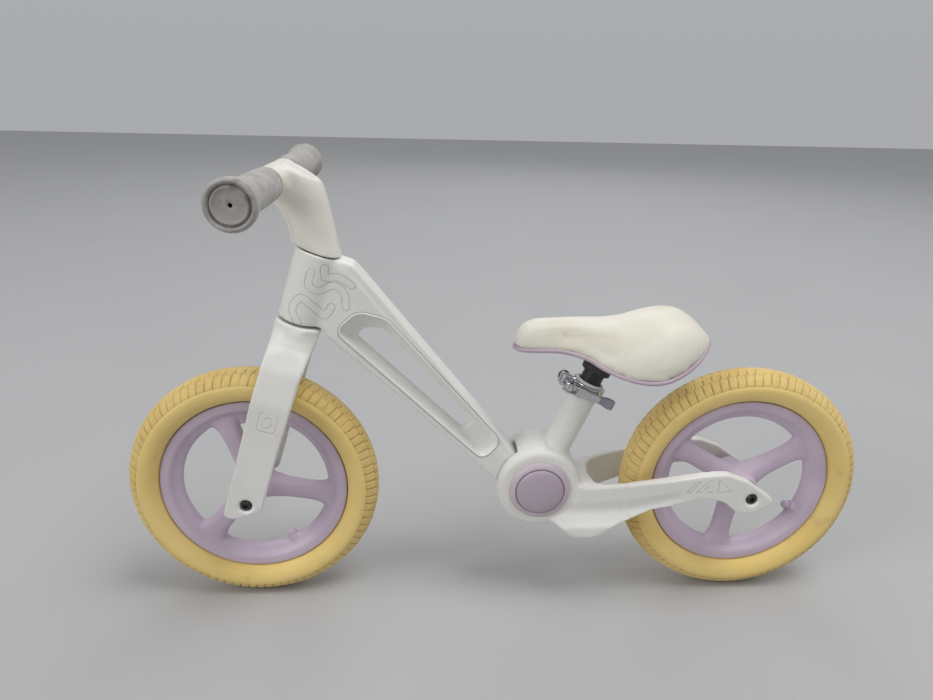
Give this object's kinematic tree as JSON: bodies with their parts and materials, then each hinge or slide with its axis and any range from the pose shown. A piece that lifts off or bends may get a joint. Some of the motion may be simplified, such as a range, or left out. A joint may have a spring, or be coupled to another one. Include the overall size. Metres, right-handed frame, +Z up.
{
  "type": "balance bike",
  "caption": "Folding balance bike for a small child, with a slotted cast beam, round fold hub, moulded spoked wheels and a padded saddle.",
  "frame": {"origin": "on the ground under the bike, midway between the two axles, at the bottom centre of the bounding box", "axes": "-X points to the front wheel, +Y to the rider's right, +Z up"},
  "size_m": [0.885, 0.386, 0.5286],
  "materials": {
    "frame_white": "satin off-white",
    "stem_cream": "satin cream",
    "rim_lilac": "satin lilac",
    "trim_lilac": "satin greyed lilac",
    "tyre_yellow": "matt ochre yellow",
    "grip_grey": "matt warm grey",
    "black_rubber": "matt",
    "steel": "bright",
    "dark_steel": "black oxide",
    "chrome": "plated",
    "post_black": "black anodised",
    "saddle_vinyl": "satin cream vinyl"
  },
  "bodies": {
    "front_frame": {"front_frame": "frame_white", "headset_bearing_lower": "steel", "headset_bearing_upper": "steel"},
    "rear_frame": {"rear_frame": "frame_white", "hub_ring": "trim_lilac", "hub_cover_right": "trim_lilac", "pivot_pin": "steel", "clamp_collar": "chrome", "clamp_bolt": "chrome", "clamp_nut": "dark_steel", "lever_pin": "dark_steel", "rear_axle": "steel", "rear_spacer_left": "dark_steel", "rear_spacer_right": "dark_steel", "rear_axle_bolt_left": "dark_steel", "rear_axle_bolt_right": "dark_steel"},
    "steerer": {"fork": "frame_white", "stem": "stem_cream", "steerer_bolt": "dark_steel", "handlebar_tube": "steel", "grip_left": "grip_grey", "grip_right": "grip_grey", "front_axle": "steel", "front_spacer_left": "dark_steel", "front_spacer_right": "dark_steel", "front_axle_bolt_left": "dark_steel", "front_axle_bolt_right": "dark_steel"},
    "front_wheel": {"front_tyre": "tyre_yellow", "front_inner_tube": "black_rubber", "front_rim": "rim_lilac", "front_bearing_left": "steel", "front_bearing_right": "steel", "front_valve_stem": "steel", "front_valve_cap": "rim_lilac"},
    "rear_wheel": {"rear_tyre": "tyre_yellow", "rear_inner_tube": "black_rubber", "rear_rim": "rim_lilac", "rear_bearing_left": "steel", "rear_bearing_right": "steel", "rear_valve_stem": "steel", "rear_valve_cap": "rim_lilac"},
    "fold_button": {"fold_button": "trim_lilac", "lock_plunger": "steel", "button_spring": "steel"},
    "seat": {"seat_post": "post_black", "saddle_base": "trim_lilac", "saddle_cushion": "saddle_vinyl", "saddle_bolt": "dark_steel"},
    "clamp_lever": {"clamp_lever": "chrome"}
  },
  "joints": [
    {"name": "steering", "type": "hinge", "parent": "front_frame", "child": "steerer", "pos_m": [-0.2955, 0, 0.147], "axis": [0.2957, 0, 0.9553], "range_deg": [-40, 40]},
    {"name": "front_wheel_spin", "type": "hinge", "parent": "steerer", "child": "front_wheel", "pos_m": [-0.2955, 0, 0.147], "axis": [0, 1, 0], "continuous": true},
    {"name": "fold", "type": "hinge", "parent": "front_frame", "child": "rear_frame", "pos_m": [0.0435, 0, 0.152], "axis": [0, 1, 0], "range_deg": [0, 105]},
    {"name": "rear_wheel_spin", "type": "hinge", "parent": "rear_frame", "child": "rear_wheel", "pos_m": [0.2955, 0, 0.147], "axis": [0, 1, 0], "continuous": true},
    {"name": "fold_button_press", "type": "slide", "parent": "rear_frame", "child": "fold_button", "axis": [0, 1, 0], "range_m": [0, 0.005], "stiffness_N_per_m": 1500, "springref_m": -0.002, "deforming": ["button_spring"]},
    {"name": "seat_height", "type": "slide", "parent": "rear_frame", "child": "seat", "axis": [0.3907, 0, 0.9205], "range_m": [-0.012, 0.05]},
    {"name": "clamp_lever_swing", "type": "hinge", "parent": "rear_frame", "child": "clamp_lever", "pos_m": [0.07247, -0.0235, 0.27991], "axis": [-0.3907, 0, -0.9205], "range_deg": [0, 150]}
  ]
}
